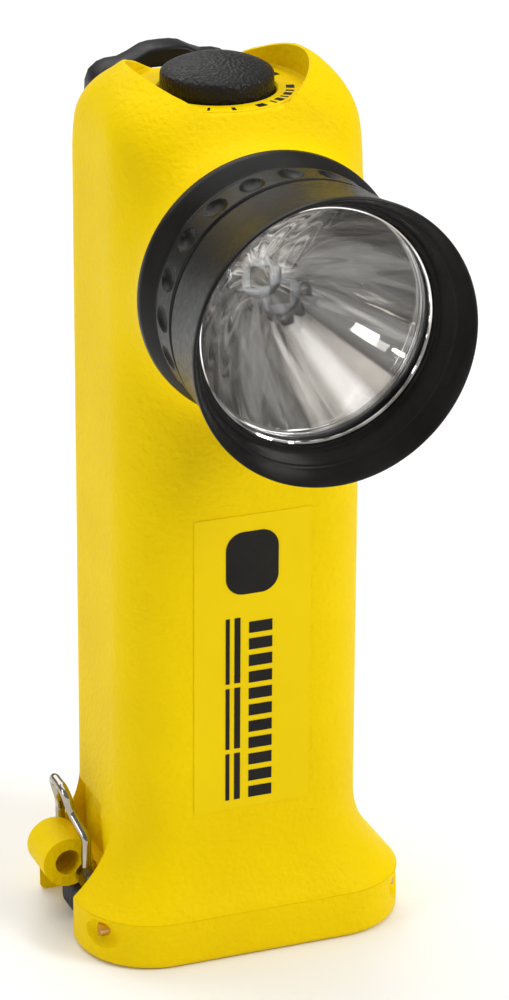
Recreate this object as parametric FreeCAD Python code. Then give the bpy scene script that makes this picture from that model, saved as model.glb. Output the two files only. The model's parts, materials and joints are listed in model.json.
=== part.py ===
import FreeCAD, Part
import math
import os
from FreeCAD import Vector

# Right-angle firefighter flashlight, millimetres.
# Origin: centre of the base plane. +Z up, -Y is the way the lamp head points.

# --- housing ---
BODY_HEIGHT = 178.0
COLUMN_HALF_X = 25.0
COLUMN_HALF_Y = 21.0
COLUMN_CORNER_R = 12.0
SHOULDER_R = 13.5
WALL = 2.5
SEAM_Z = 10.0
SEAM_GAP = 0.2
CAVITY_TOP_Z = 165.5

# Flare from the foot to the column: z, half width, front y, back y, corner radius.
FLARE = [
    (SEAM_Z, 33.5, -27.0, 25.0, 15.5),
    (13.5, 30.2, -24.8, 23.4, 14.2),
    (17.6, 27.1, -22.9, 22.1, 13.0),
    (21.5, 25.9, -21.7, 21.4, 12.4),
    (27.0, 25.3, -21.1, 21.1, 12.1),
    (120.0, 25.1, -21.05, 21.05, 12.0),
]

# --- recess and push button on the top ---
DISH_R = 17.5
DISH_FLOOR_Z = 170.5
WELL_R = 11.25
WELL_FLOOR_Z = 168.0
BUTTON_R = 10.9
BUTTON_BOTTOM_Z = 170.0
BUTTON_RIM_Z = 174.3
BUTTON_TOP_Z = 177.1
BUTTON_WALL = 1.8
STEM_R = 4.0
STEM_FOOT_Z = 160.3
SWITCH_FLOOR_Z = 153.0

# --- lamp head, measured along -Y from the column axis ---
HEAD_Z = 140.6
HEAD_SEAT = 27.0
HEAD_SEAT_R = 25.6
CAP_BACK = 27.2
CAP_BACK_R = 26.0
LIP = 61.1
LIP_R = 27.5
LENS_FRONT = 50.8
LENS_THICK = 2.0
LENS_R = 23.7
LENS_OPENING_R = 23.0
NECK_R = 22.65
NECK_BORE_R = 20.8
NECK_FRONT = 42.5
CAP_BORE_R = 22.8
GRIP_DIMPLES = 20
REFLECTOR_VERTEX = 23.0
REFLECTOR_FOCUS = 5.0
REFLECTOR_RIM_R = 22.0
REFLECTOR_HOLE_R = 4.0
LED_SCREW_X = 7.2
LED_BOARD_FRONT = 22.6
DRIVER_FRONT_Y = -9.9
DRIVER_BACK_Y = -8.4

# --- latch bay on the left side ---
BAY_X = -25.4
BAY_FRONT = -9.0
BAY_BACK = 14.0
REAR_WING_TOP_Z = 16.5
LATCH_PIN_X = -28.2
LATCH_PIN_Z = 11.0
LATCH_PIN_R = 1.1
BARREL_X = -31.7
BARREL_Z = 13.3
BARREL_R = 5.2
BARREL_HOLE_R = 2.7
BARREL_Y = (-1.0, 9.3)
RING_WIRE_R = 1.0
RING_LEG_Y = (-3.6, 12.4)
RING_X = -28.8
RING_TOP_X = -31.8
RING_TOP_Z = 28.6
RING_SHOULDER_Z = 19.4
RING_NECK_Z = 23.6
RING_NECK_HALF = 3.9
RING_EYE_R = 2.6

# --- battery door hinge on the right side ---
HINGE_X = 31.8
HINGE_Z = 6.0
HINGE_KNUCKLE_R = 2.6
HINGE_PIN_R = 1.2
HINGE_Y = (-1.0, 13.4)
HINGE_LUG = 4.4

# --- charging contacts at the front corners of the door ---
SCOOP_R = 6.5
SCOOP_X = 35.0
SCOOP_Y = -21.7
CONTACT_Y = -17.6
CONTACT_Z = 6.4

# --- clip on the back ---
CLIP_PIVOT_Y = 29.4
CLIP_PIVOT_Z = 149.0
CLIP_PIN_R = 2.0
CLIP_EAR_R = 3.6
CLIP_SCREW_Z = (140.5, 154.6)
CLIP_HALF_X = 15.3
CLIP_BACK_Y = 33.0
CLIP_FRONT_Y = 26.4
CLIP_TOP_Z = 171.0
CLIP_TIP_Z = 92.0

# --- label on the front ---
LABEL_X = (-12.5, 11.5)
LABEL_Z = (30.0, 92.0)
LABEL_FRONT_Y = -21.2
INK_THICK = 0.1

# --- battery pack ---
CELL_R = 7.25
CELL_LENGTH = 50.5
CELL_X = 8.6
CELL_BASE_Z = 17.0
CELL_NUB_HEIGHT = 1.4
CARRIER_HALF_X = 18.0
CARRIER_HALF_Y = 9.5

X_AXIS = Vector(1, 0, 0)
Y_AXIS = Vector(0, 1, 0)
Z_AXIS = Vector(0, 0, 1)
RUNNING = 0.06


# ---------------------------------------------------------------- helpers
def box(x0, x1, y0, y1, z0, z1):
    return Part.makeBox(x1 - x0, y1 - y0, z1 - z0, Vector(x0, y0, z0))


def rod(radius, start, direction, length):
    return Part.makeCylinder(radius, length, start, direction)


def tube(outer, inner, start, direction, length):
    return rod(outer, start, direction, length).cut(rod(inner, start, direction, length))


def fuse_all(shapes):
    return shapes[0].multiFuse(shapes[1:]).removeSplitter()


def rounded_wire(x0, x1, y0, y1, radius, z):
    diagonal = radius * (1 - math.sqrt(0.5))
    corners = [(x1, y0, 1, -1), (x1, y1, 1, 1), (x0, y1, -1, 1), (x0, y0, -1, -1)]
    edges = []
    ends = []
    for index, (cx, cy, sx, sy) in enumerate(corners):
        along_x = Vector(cx - sx * radius, cy, z)
        along_y = Vector(cx, cy - sy * radius, z)
        middle = Vector(cx - sx * diagonal, cy - sy * diagonal, z)
        first, last = (along_x, along_y) if index % 2 == 0 else (along_y, along_x)
        edges.append(Part.Arc(first, middle, last).toShape())
        ends.append((first, last))
    wires = []
    for index, edge in enumerate(edges):
        wires.append(edge)
        wires.append(Part.LineSegment(ends[index][1], ends[(index + 1) % 4][0]).toShape())
    return Part.Wire(wires)


def rounded_prism(x0, x1, y0, y1, radius, z0, z1):
    face = Part.Face(rounded_wire(x0, x1, y0, y1, radius, z0))
    return face.extrude(Vector(0, 0, z1 - z0))


def polygon(points):
    return Part.Face(Part.makePolygon(points + [points[0]]))


def head_revolve(profile):
    """Turn a closed (distance along -Y, radius) outline about the lamp axis."""
    points = [Vector(0, -distance, HEAD_Z + radius) for distance, radius in profile]
    return polygon(points).revolve(Vector(0, 0, HEAD_Z), Y_AXIS, 360)


def head_rod(radius, start, end):
    return rod(radius, Vector(0, -start, HEAD_Z), Vector(0, -1, 0), end - start)


def head_tube(outer, inner, start, end):
    return head_rod(outer, start, end).cut(head_rod(inner, start, end))


def bent_wire(points, wire_r, bend_r):
    """A round wire along straight runs joined by tangent arcs."""
    edges = []
    last = points[0]
    for before, corner, after in zip(points, points[1:], points[2:]):
        back = (before - corner).normalize()
        ahead = (after - corner).normalize()
        half = back.getAngle(ahead) / 2
        reach = bend_r / math.tan(half)
        start = corner + back * reach
        end = corner + ahead * reach
        bisector = (back + ahead).normalize()
        middle = corner + bisector * (bend_r / math.sin(half) - bend_r)
        edges.append(Part.LineSegment(last, start).toShape())
        edges.append(Part.Arc(start, middle, end).toShape())
        last = end
    edges.append(Part.LineSegment(last, points[-1]).toShape())
    path = Part.Wire(edges)
    heading = (points[1] - points[0]).normalize()
    circle = Part.Wire(Part.Circle(points[0], heading, wire_r).toShape())
    return path.makePipeShell([circle], True, True)


def coil(radius, wire_r, pitch, height, base):
    helix = Part.makeHelix(pitch, height, radius)
    helix.translate(base)
    start = base + Vector(radius, 0, 0)
    section = Part.Wire(Part.Circle(start, Y_AXIS, wire_r).toShape())
    return Part.Wire(helix.Edges).makePipeShell([section], True, True)


# ---------------------------------------------------------------- housing
def column_solid():
    lower = Part.makeLoft([rounded_wire(-hx, hx, yf, yb, r, z) for z, hx, yf, yb, r in FLARE], True, True)
    top_z = FLARE[-1][0]
    upper = rounded_prism(-FLARE[-1][1], FLARE[-1][1], FLARE[-1][2], FLARE[-1][3],
                          COLUMN_CORNER_R, top_z, BODY_HEIGHT)
    half_round = rod(-FLARE[-1][2], Vector(-40, 0, BODY_HEIGHT - COLUMN_HALF_Y), X_AXIS, 80)
    half_round = half_round.fuse(box(-40, 40, -30, 30, 0, BODY_HEIGHT - COLUMN_HALF_Y))
    shoulders = box(-FLARE[-1][1], FLARE[-1][1], -40, 40, top_z, BODY_HEIGHT)
    edges = [e for e in shoulders.Edges
             if abs(e.CenterOfMass.z - BODY_HEIGHT) < 0.01 and abs(e.CenterOfMass.x) > 20]
    shoulders = shoulders.makeFillet(SHOULDER_R, edges)
    return lower.fuse(upper.common(half_round).common(shoulders)).removeSplitter()


def cavity_solid():
    block = rounded_prism(-COLUMN_HALF_X + WALL, COLUMN_HALF_X - WALL, -COLUMN_HALF_Y + WALL,
                          COLUMN_HALF_Y - WALL, COLUMN_CORNER_R - WALL, SEAM_Z - 1, CAVITY_TOP_Z)
    dome = rod(COLUMN_HALF_Y - WALL, Vector(-40, 0, BODY_HEIGHT - COLUMN_HALF_Y), X_AXIS, 80)
    dome = dome.fuse(box(-40, 40, -30, 30, 0, BODY_HEIGHT - COLUMN_HALF_Y))
    return block.common(dome)


def pocket_prism(x_deep, y_front, z_low, z_high):
    """Finger pocket beside the latch barrel, with a slanted front wall."""
    lean = 0.25 * (z_high - z_low)
    outline = [
        Vector(x_deep, y_front, z_high),
        Vector(x_deep, BAY_BACK, z_high),
        Vector(x_deep, BAY_BACK, z_low),
        Vector(x_deep, y_front - lean, z_low),
    ]
    return polygon(outline).extrude(Vector(-36 - x_deep, 0, 0))


def make_body_shell():
    shell = column_solid()
    boss = Part.makeCone(19.5, HEAD_SEAT_R, HEAD_SEAT - 6, Vector(0, -6, HEAD_Z), Vector(0, -1, 0))
    shell = shell.fuse(boss).fuse(head_rod(NECK_R, HEAD_SEAT - 1, NECK_FRONT))
    shell = shell.cut(cavity_solid())
    pad = box(-COLUMN_HALF_X + WALL - 0.5, -18.0, -8.0, 16.5, SEAM_Z, 29.0)
    shell = shell.fuse(pad)
    shell = shell.cut(head_rod(NECK_BORE_R, 12.0, NECK_FRONT + 1))
    shell = shell.cut(head_tube(NECK_R + 1, NECK_R - 1.6, 29.2, 30.8))
    shell = shell.cut(rod(DISH_R, Vector(0, 0, DISH_FLOOR_Z), Z_AXIS, 20))
    shell = shell.cut(rod(WELL_R, Vector(0, 0, WELL_FLOOR_Z), Z_AXIS, 20))
    shell = shell.cut(rod(STEM_R + 0.08, Vector(0, 0, CAVITY_TOP_Z - 5), Z_AXIS, 20))
    shell = shell.cut(box(-60, BAY_X, BAY_FRONT, BAY_BACK, 0, 27.5))
    shell = shell.cut(box(-60, BAY_X, BAY_FRONT, 40, REAR_WING_TOP_Z, 27.5))
    shell = shell.cut(pocket_prism(-20.2, -2.0, 11.5, 25.6))
    for y in (HINGE_Y[0], HINGE_Y[1] - HINGE_LUG):
        lug = rod(HINGE_KNUCKLE_R, Vector(HINGE_X, y, HINGE_Z), Y_AXIS, HINGE_LUG)
        shell = shell.fuse(lug.fuse(box(29.3, 33.2, y, y + HINGE_LUG, HINGE_Z, SEAM_Z + 0.5)))
    shell = shell.cut(rod(HINGE_PIN_R, Vector(HINGE_X, -7.0, HINGE_Z), Y_AXIS, 22))
    shell = shell.cut(make_latch_pin())
    return shell.removeSplitter()


def make_mode_ring():
    return tube(DISH_R - 1.9, WELL_R + 0.3, Vector(0, 0, DISH_FLOOR_Z), Z_AXIS, 0.12)


def make_front_label():
    film = box(LABEL_X[0], LABEL_X[1], LABEL_FRONT_Y, -COLUMN_HALF_Y, LABEL_Z[0], LABEL_Z[1])
    return film.cut(column_solid())


def ink_mark(x0, x1, z0, z1):
    return box(x0, x1, LABEL_FRONT_Y - INK_THICK, LABEL_FRONT_Y, z0, z1)


def make_label_marks():
    """A plain rounded badge over one row of dashes and two broken stripes."""
    badge = ink_mark(-6.0, 4.8, 75.6, 88.6)
    badge = badge.makeFillet(3.6, [e for e in badge.Edges if e.Length < 2 * INK_THICK])
    low_z, high_z, dashes = 32.0, 70.8, 11
    step = (high_z - low_z) / dashes
    marks = [badge]
    for index in range(dashes):
        start = low_z + index * step
        marks.append(ink_mark(-1.2, 3.6, start, start + 0.66 * step))
    for x0, x1 in ((-6.0, -5.2), (-4.2, -3.0)):
        for z0, z1 in ((low_z, 42.0), (43.0, 56.0), (57.0, high_z)):
            marks.append(ink_mark(x0, x1, z0, z1))
    return Part.makeCompound(marks)


# ---------------------------------------------------------------- push button
def make_button_cap():
    skirt = Part.makeCone(BUTTON_R, BUTTON_R - 0.6, BUTTON_RIM_Z - BUTTON_BOTTOM_Z,
                          Vector(0, 0, BUTTON_BOTTOM_Z), Z_AXIS)
    rim_r = BUTTON_R - 0.6
    rise = BUTTON_TOP_Z - BUTTON_RIM_Z
    crown_r = (rim_r * rim_r + rise * rise) / (2 * rise)
    crown = Part.makeSphere(crown_r, Vector(0, 0, BUTTON_TOP_Z - crown_r))
    crown = crown.common(rod(rim_r, Vector(0, 0, BUTTON_RIM_Z), Z_AXIS, 10))
    hollow_height = BUTTON_RIM_Z - BUTTON_BOTTOM_Z - 0.2
    hollow = rod(BUTTON_R - BUTTON_WALL, Vector(0, 0, BUTTON_BOTTOM_Z - 1), Z_AXIS, hollow_height)
    return skirt.fuse(crown).cut(hollow).removeSplitter()


def make_button_stem():
    top = BUTTON_RIM_Z - 1.2
    flange = rod(5.2, Vector(0, 0, top - 1.0), Z_AXIS, 1.0)
    stem = rod(STEM_R, Vector(0, 0, STEM_FOOT_Z), Z_AXIS, top - STEM_FOOT_Z)
    return flange.fuse(stem).removeSplitter()


def make_button_spring():
    return coil(6.4, 0.4, 1.7, 3.4, Vector(0, 0, WELL_FLOOR_Z + 0.45))


def make_stem_seal():
    return tube(7.5, STEM_R + 0.1, Vector(0, 0, CAVITY_TOP_Z - 1.6), Z_AXIS, 1.6)


def make_switch_housing():
    cup = rod(9.5, Vector(0, 0, SWITCH_FLOOR_Z), Z_AXIS, CAVITY_TOP_Z - SWITCH_FLOOR_Z)
    cup = cup.cut(rod(7.6, Vector(0, 0, SWITCH_FLOOR_Z + 1.8), Z_AXIS, 20))
    ears = box(-14.0, 14.0, -4.0, 4.0, CAVITY_TOP_Z - 2.5, CAVITY_TOP_Z)
    ears = ears.cut(rod(9.0, Vector(0, 0, 150), Z_AXIS, 30))
    return cup.fuse(ears).removeSplitter()


def make_switch_board():
    return rod(7.4, Vector(0, 0, SWITCH_FLOOR_Z + 1.9), Z_AXIS, 1.2)


def make_tact_switch():
    foot_z = SWITCH_FLOOR_Z + 3.1
    body = box(-3.0, 3.0, -3.0, 3.0, foot_z, foot_z + 1.5)
    return body.fuse(rod(1.7, Vector(0, 0, foot_z + 1.5), Z_AXIS, 1.0))


# ---------------------------------------------------------------- lamp head
def make_face_cap():
    cap = head_revolve([
        (CAP_BACK, CAP_BORE_R), (CAP_BACK, CAP_BACK_R - 0.3), (CAP_BACK + 0.3, CAP_BACK_R),
        (CAP_BACK + 1.8, CAP_BACK_R - 0.1), (CAP_BACK + 4.6, 24.6), (CAP_BACK + 5.4, 24.1),
        (CAP_BACK + 6.6, 24.1), (CAP_BACK + 7.2, 24.7), (CAP_BACK + 14.6, 25.0),
        (CAP_BACK + 15.2, 24.6), (CAP_BACK + 16.0, 24.6), (CAP_BACK + 16.6, 25.2),
        (LIP - 11.0, 25.7), (LIP - 1.2, 27.35), (LIP, LIP_R), (LIP, LIP_R - 0.6),
        (LIP - 4.6, LIP_R - 2.2), (LIP - 4.8, LIP_R - 2.8), (LENS_FRONT + 1.4, LENS_OPENING_R + 0.9),
        (LENS_FRONT + 1.2, LENS_OPENING_R), (LENS_FRONT + 0.05, LENS_OPENING_R),
        (LENS_FRONT + 0.05, LENS_R + 0.2), (45.5, LENS_R + 0.2), (44.6, CAP_BORE_R),
    ])
    for index in range(GRIP_DIMPLES):
        angle = 360.0 * index / GRIP_DIMPLES
        dimple = Part.makeSphere(2.0)
        stretch = FreeCAD.Matrix()
        stretch.scale(1.0, 1.75, 0.45)
        dimple = dimple.transformGeometry(stretch)
        dimple.translate(Vector(0, -(CAP_BACK + 10.9), HEAD_Z + 25.0))
        dimple.rotate(Vector(0, 0, HEAD_Z), Y_AXIS, angle)
        cap = cap.cut(dimple)
    return cap


def make_lens():
    return head_rod(LENS_R, LENS_FRONT - LENS_THICK, LENS_FRONT)


def make_lens_gasket():
    return head_tube(LENS_R, 22.4, LENS_FRONT - LENS_THICK - 1.2, LENS_FRONT - LENS_THICK)


def make_neck_o_ring():
    return Part.makeTorus(NECK_R - 0.8, 0.75, Vector(0, -30.0, HEAD_Z), Y_AXIS)


def reflector_distance(radius):
    return REFLECTOR_VERTEX + radius * radius / (4 * REFLECTOR_FOCUS)


def make_reflector():
    radii = [REFLECTOR_HOLE_R + (REFLECTOR_RIM_R - REFLECTOR_HOLE_R) * k / 5 for k in range(6)]
    thickness = 0.8
    inner = [Vector(0, -reflector_distance(r), HEAD_Z + r) for r in radii]
    outer = [Vector(0, -reflector_distance(r) + thickness, HEAD_Z + r + 0.25) for r in radii]
    inner_curve = Part.BSplineCurve()
    inner_curve.interpolate(inner)
    outer_curve = Part.BSplineCurve()
    outer_curve.interpolate(outer)
    edges = [
        inner_curve.toShape(), outer_curve.toShape(),
        Part.makeLine(inner[0], outer[0]), Part.makeLine(inner[-1], outer[-1]),
    ]
    dish = Part.Face(Part.Wire(Part.__sortEdges__(edges))).revolve(Vector(0, 0, HEAD_Z), Y_AXIS, 360)
    rim = head_tube(NECK_R - 0.2, REFLECTOR_RIM_R - 0.4, 46.4, 47.2)
    return dish.fuse(rim).removeSplitter()


def make_led_board():
    board = head_rod(9.0, 21.0, LED_BOARD_FRONT)
    for side in (-1, 1):
        board = board.cut(rod(0.8, Vector(side * LED_SCREW_X, -23, HEAD_Z), Y_AXIS, 3))
    return board


def make_led_emitter():
    half, dome_r = 1.9, 1.5
    front_y = -LED_BOARD_FRONT - 0.6
    base = box(-half, half, front_y, -LED_BOARD_FRONT, HEAD_Z - half, HEAD_Z + half)
    front_half = box(-3, 3, front_y - 3, front_y, HEAD_Z - 3, HEAD_Z + 3)
    dome = Part.makeSphere(dome_r, Vector(0, front_y, HEAD_Z)).common(front_half)
    return base.fuse(dome).removeSplitter()


def make_led_screws():
    screws = []
    for side in (-1, 1):
        place = Vector(side * LED_SCREW_X, -LED_BOARD_FRONT, HEAD_Z)
        screws.append(rod(1.4, place, Vector(0, -1, 0), 0.6).fuse(rod(0.8, place, Y_AXIS, 4.4)))
    return Part.makeCompound(screws)


def make_heat_sink():
    sink = head_rod(NECK_BORE_R - 0.05, 17.5, 21.0).fuse(head_rod(12.0, 10.0, 17.5))
    for groove in range(3):
        start = 11.2 + 2.0 * groove
        sink = sink.cut(head_tube(13.0, 9.5, start, start + 1.0))
    for side in (-1, 1):
        sink = sink.cut(rod(0.8, Vector(side * LED_SCREW_X, -21.1, HEAD_Z), Y_AXIS, 3.0))
    return sink.removeSplitter()


def make_driver_board():
    return box(-12.0, 12.0, DRIVER_FRONT_Y, DRIVER_BACK_Y, HEAD_Z - 13.0, HEAD_Z + 10.0)


def make_driver_components():
    # low left corner x and z, width, height and thickness of each chip
    chips = [
        (-7.0, 4.0, 5.0, 3.5, 1.2),
        (3.0, 4.5, 4.0, 3.0, 1.0),
        (-7.0, -7.0, 4.0, 6.0, 2.6),
        (3.5, -8.0, 5.5, 5.5, 3.2),
    ]
    solids = []
    for x, z, width, height, thick in chips:
        low = HEAD_Z + z
        solids.append(box(x, x + width, DRIVER_BACK_Y, DRIVER_BACK_Y + thick, low, low + height))
    return Part.makeCompound(solids)


# ---------------------------------------------------------------- battery pack
def cell_solid(x, z):
    can_length = CELL_LENGTH - CELL_NUB_HEIGHT
    can = rod(CELL_R, Vector(x, 0, z), Z_AXIS, can_length)
    return can.fuse(rod(2.6, Vector(x, 0, z + can_length), Z_AXIS, CELL_NUB_HEIGHT))


def make_battery_carrier():
    top = CELL_BASE_Z + 2 * CELL_LENGTH
    half_x, half_y = CARRIER_HALF_X, CARRIER_HALF_Y
    low = rounded_prism(-half_x, half_x, -half_y, half_y, 6.0, CELL_BASE_Z - 2.2, CELL_BASE_Z - 0.4)
    high = rounded_prism(-half_x, half_x, -half_y, half_y, 6.0, top + 0.5, top + 2.3)
    spine = box(-1.0, 1.0, -half_y, half_y, CELL_BASE_Z - 1.0, top + 1.0)
    back_web = box(-9.0, 9.0, 7.8, half_y, CELL_BASE_Z - 1.0, top + 1.0)
    return fuse_all([low, high, spine, back_web])


def make_carrier_contacts():
    top = CELL_BASE_Z + 2 * CELL_LENGTH
    pieces = [
        box(-14.0, 14.0, -3.0, 3.0, CELL_BASE_Z - 0.4, CELL_BASE_Z).cut(box(-1.05, 1.05, -4, 4, 0, 30)),
        rod(4.0, Vector(-CELL_X, 0, top), Z_AXIS, 0.5),
        rod(4.0, Vector(CELL_X, 0, top), Z_AXIS, 0.5),
    ]
    return Part.makeCompound(pieces)


def make_top_terminal():
    top = CELL_BASE_Z + 2 * CELL_LENGTH + 2.3
    plate = box(-16.0, 16.0, -7.0, 7.0, top + 1.0, top + 2.2)
    bumps = [rod(2.2, Vector(side * CELL_X, 0, top + 0.05), Z_AXIS, 1.0) for side in (-1, 1)]
    return fuse_all([plate] + bumps)


def make_lead_wires():
    base = CELL_BASE_Z + 2 * CELL_LENGTH + 4.5
    wires = []
    for side in (-1, 1):
        x = side * 9.0
        route = [Vector(x, 4.0, base), Vector(x, 4.0, base + 14.0), Vector(x, -7.6, base + 17.0)]
        wires.append(bent_wire(route, 0.8, 4.0))
    return Part.makeCompound(wires)


# ---------------------------------------------------------------- battery door
def foot_prism(z0, z1, inset=0.0):
    z, hx, yf, yb, r = FLARE[0]
    return rounded_prism(-hx + inset, hx - inset, yf + inset, yb - inset, r - inset, z0, z1)


def make_battery_door():
    door = foot_prism(0.0, SEAM_Z - SEAM_GAP)
    bottom = [e for e in door.Edges if e.BoundBox.ZMax < 0.01]
    door = door.makeFillet(1.6, bottom)
    door = door.cut(box(-60, BAY_X, BAY_FRONT, BAY_BACK, -1, 20))
    groove = rounded_prism(-24.6, 24.6, -20.6, 20.6, 11.6, SEAM_Z - 1.6, SEAM_Z + 1)
    groove = groove.cut(rounded_prism(-22.4, 22.4, -18.4, 18.4, 9.4, 0, SEAM_Z + 2))
    door = door.cut(groove)
    for side in (-1, 1):
        scoop = Part.makeSphere(SCOOP_R)
        flatten = FreeCAD.Matrix()
        flatten.scale(1.0, 1.0, 0.6)
        scoop = scoop.transformGeometry(flatten)
        scoop.translate(Vector(side * SCOOP_X, SCOOP_Y, CONTACT_Z))
        door = door.cut(scoop)
    turning_edge = rod(SEAM_Z - SEAM_GAP - HINGE_Z + 0.1, Vector(HINGE_X, -30, HINGE_Z), Y_AXIS, 60)
    door = door.cut(box(HINGE_X, 60, -30, 30, HINGE_Z, 20).cut(turning_edge))
    clear_x = HINGE_X - HINGE_KNUCKLE_R - 0.3
    clear_z = HINGE_Z - HINGE_KNUCKLE_R - 0.3
    door = door.cut(box(clear_x, 60, HINGE_Y[0] - 0.3, HINGE_Y[1] + 0.3, clear_z, 20))
    y0 = HINGE_Y[0] + HINGE_LUG + 0.2
    y1 = HINGE_Y[1] - HINGE_LUG - 0.2
    knuckle = rod(HINGE_KNUCKLE_R, Vector(HINGE_X, y0, HINGE_Z), Y_AXIS, y1 - y0)
    arm_z0, arm_z1 = HINGE_Z - HINGE_KNUCKLE_R, HINGE_Z + HINGE_KNUCKLE_R
    arm = box(clear_x - 1, HINGE_X, y0, y1, arm_z0, arm_z1)
    door = fuse_all([door, knuckle, arm])
    door = door.cut(rod(HINGE_PIN_R + RUNNING, Vector(HINGE_X, -8, HINGE_Z), Y_AXIS, 24))
    return door.cut(make_charge_contacts()).removeSplitter()


def make_door_gasket():
    ring = rounded_prism(-24.4, 24.4, -20.4, 20.4, 11.4, SEAM_Z - 1.6, SEAM_Z - 0.1)
    return ring.cut(rounded_prism(-22.6, 22.6, -18.6, 18.6, 9.6, 0, SEAM_Z + 2))


def make_door_contact_plate():
    return rounded_prism(-15.0, 15.0, -6.5, 6.5, 3.0, SEAM_Z - SEAM_GAP, SEAM_Z + 0.5)


def make_door_contact_springs():
    """Two leaf springs, each a flat foot with a sloping arm."""
    foot_z = SEAM_Z + 0.5
    side_view = [
        (-4.0, 0.0), (4.0, 0.0), (4.0, 0.4), (-2.9, 0.4),
        (3.4, 3.7), (3.2, 4.1), (-4.0, 0.65),
    ]
    springs = []
    for side in (-1, 1):
        outline = [Vector(side * CELL_X + x, -1.5, foot_z + z) for x, z in side_view]
        springs.append(polygon(outline).extrude(Vector(0, 3.0, 0)))
    return Part.makeCompound(springs)


def make_charge_contacts():
    studs = []
    for side in (-1, 1):
        start = Vector(side * 26.5, CONTACT_Y, CONTACT_Z)
        studs.append(rod(1.3, start, Vector(side, 0, 0), 4.6))
    return Part.makeCompound(studs)


def make_hinge_pin():
    return rod(HINGE_PIN_R, Vector(HINGE_X, HINGE_Y[0], HINGE_Z), Y_AXIS, HINGE_Y[1] - HINGE_Y[0])


# ---------------------------------------------------------------- latch and ring
def make_latch_lever():
    y0, y1 = BARREL_Y
    web_y = y0 + 0.6
    web_length = y1 - y0 - 1.2
    barrel = rod(BARREL_R, Vector(BARREL_X, y0, BARREL_Z), Y_AXIS, y1 - y0)
    eye = rod(2.3, Vector(LATCH_PIN_X, web_y, LATCH_PIN_Z), Y_AXIS, web_length)
    web = polygon([
        Vector(BARREL_X - 3.6, web_y, BARREL_Z - 3.6),
        Vector(BARREL_X + 4.0, web_y, BARREL_Z + 3.0),
        Vector(LATCH_PIN_X + 2.2, web_y, LATCH_PIN_Z),
        Vector(LATCH_PIN_X - 0.6, web_y, LATCH_PIN_Z - 2.1),
    ]).extrude(Vector(0, web_length, 0))
    lever = fuse_all([barrel, eye, web])
    lever = lever.cut(rod(BARREL_HOLE_R, Vector(BARREL_X, y0 - 1, BARREL_Z), Y_AXIS, 7.5))
    lever = lever.cut(rod(LATCH_PIN_R + RUNNING, Vector(LATCH_PIN_X, y0 - 2, LATCH_PIN_Z), Y_AXIS, 20))
    return lever.removeSplitter()


def make_latch_pin():
    start = BAY_FRONT - 3.0
    return rod(LATCH_PIN_R, Vector(LATCH_PIN_X, start, LATCH_PIN_Z), Y_AXIS, BAY_BACK + 3.0 - start)


def make_latch_spring():
    """An open band round the pin that pushes the lever shut."""
    start = Vector(LATCH_PIN_X, BARREL_Y[1] + 0.2, LATCH_PIN_Z)
    band = tube(2.0, 1.4, start, Y_AXIS, 1.5)
    gap = box(LATCH_PIN_X - 0.35, LATCH_PIN_X + 0.35, 0, 20, LATCH_PIN_Z, LATCH_PIN_Z + 4)
    return band.cut(gap)


def make_latch_bumper():
    body = box(-31.2, BAY_X - 0.05, -1.0, 6.0, 1.0, 7.4)
    for level in (2.4, 4.2, 6.0):
        body = body.cut(box(-32.0, -30.6, -2.0, 7.0, level - 0.35, level + 0.35))
    return body


def make_attachment_ring():
    near, far = RING_LEG_Y
    centre = (near + far) / 2
    foot_z = LATCH_PIN_Z + 1.2
    route = [
        Vector(RING_X, near, foot_z), Vector(RING_X, near, RING_SHOULDER_Z),
        Vector(RING_X - 1.6, centre - RING_NECK_HALF, RING_NECK_Z),
        Vector(RING_TOP_X, centre - RING_NECK_HALF, RING_TOP_Z),
        Vector(RING_TOP_X, centre + RING_NECK_HALF, RING_TOP_Z),
        Vector(RING_X - 1.6, centre + RING_NECK_HALF, RING_NECK_Z),
        Vector(RING_X, far, RING_SHOULDER_Z), Vector(RING_X, far, foot_z),
    ]
    bail = bent_wire(route, RING_WIRE_R, 2.4)
    eyes = []
    for y in RING_LEG_Y:
        start = Vector(LATCH_PIN_X, y - RING_WIRE_R, LATCH_PIN_Z)
        eyes.append(tube(RING_EYE_R, LATCH_PIN_R + RUNNING, start, Y_AXIS, 2 * RING_WIRE_R))
    return bail.fuse(eyes[0]).fuse(eyes[1])


# ---------------------------------------------------------------- clip
def make_clip_bracket():
    back = COLUMN_HALF_Y + 0.1
    plate = box(-9.0, 9.0, back, back + 2.6, CLIP_PIVOT_Z - 12.0, CLIP_PIVOT_Z + 8.0)
    ears = []
    for side in (-1, 1):
        x0 = min(side * 6.0, side * 9.0)
        ear = rod(CLIP_EAR_R, Vector(x0, CLIP_PIVOT_Y, CLIP_PIVOT_Z), X_AXIS, 3.0)
        low, high = CLIP_PIVOT_Z - CLIP_EAR_R, CLIP_PIVOT_Z + CLIP_EAR_R
        ears.append(ear.fuse(box(x0, x0 + 3.0, back, CLIP_PIVOT_Y, low, high)))
    bracket = fuse_all([plate] + ears)
    bracket = bracket.cut(rod(CLIP_PIN_R, Vector(-10, CLIP_PIVOT_Y, CLIP_PIVOT_Z), X_AXIS, 20))
    for z in CLIP_SCREW_Z:
        bracket = bracket.cut(rod(1.5, Vector(0, 20, z), Y_AXIS, 10))
    return bracket.removeSplitter()


def make_clip_screws():
    screws = []
    for z in CLIP_SCREW_Z:
        head = rod(2.6, Vector(0, COLUMN_HALF_Y + 2.75, z), Y_AXIS, 1.2)
        head = head.cut(box(-2.2, 2.2, COLUMN_HALF_Y + 3.4, 30, z - 0.35, z + 0.35))
        screws.append(head.fuse(rod(1.4, Vector(0, COLUMN_HALF_Y + 0.15, z), Y_AXIS, 2.8)))
    return Part.makeCompound(screws)


def make_clip_pin():
    return rod(CLIP_PIN_R, Vector(-12.4, CLIP_PIVOT_Y, CLIP_PIVOT_Z), X_AXIS, 24.8)


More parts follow.
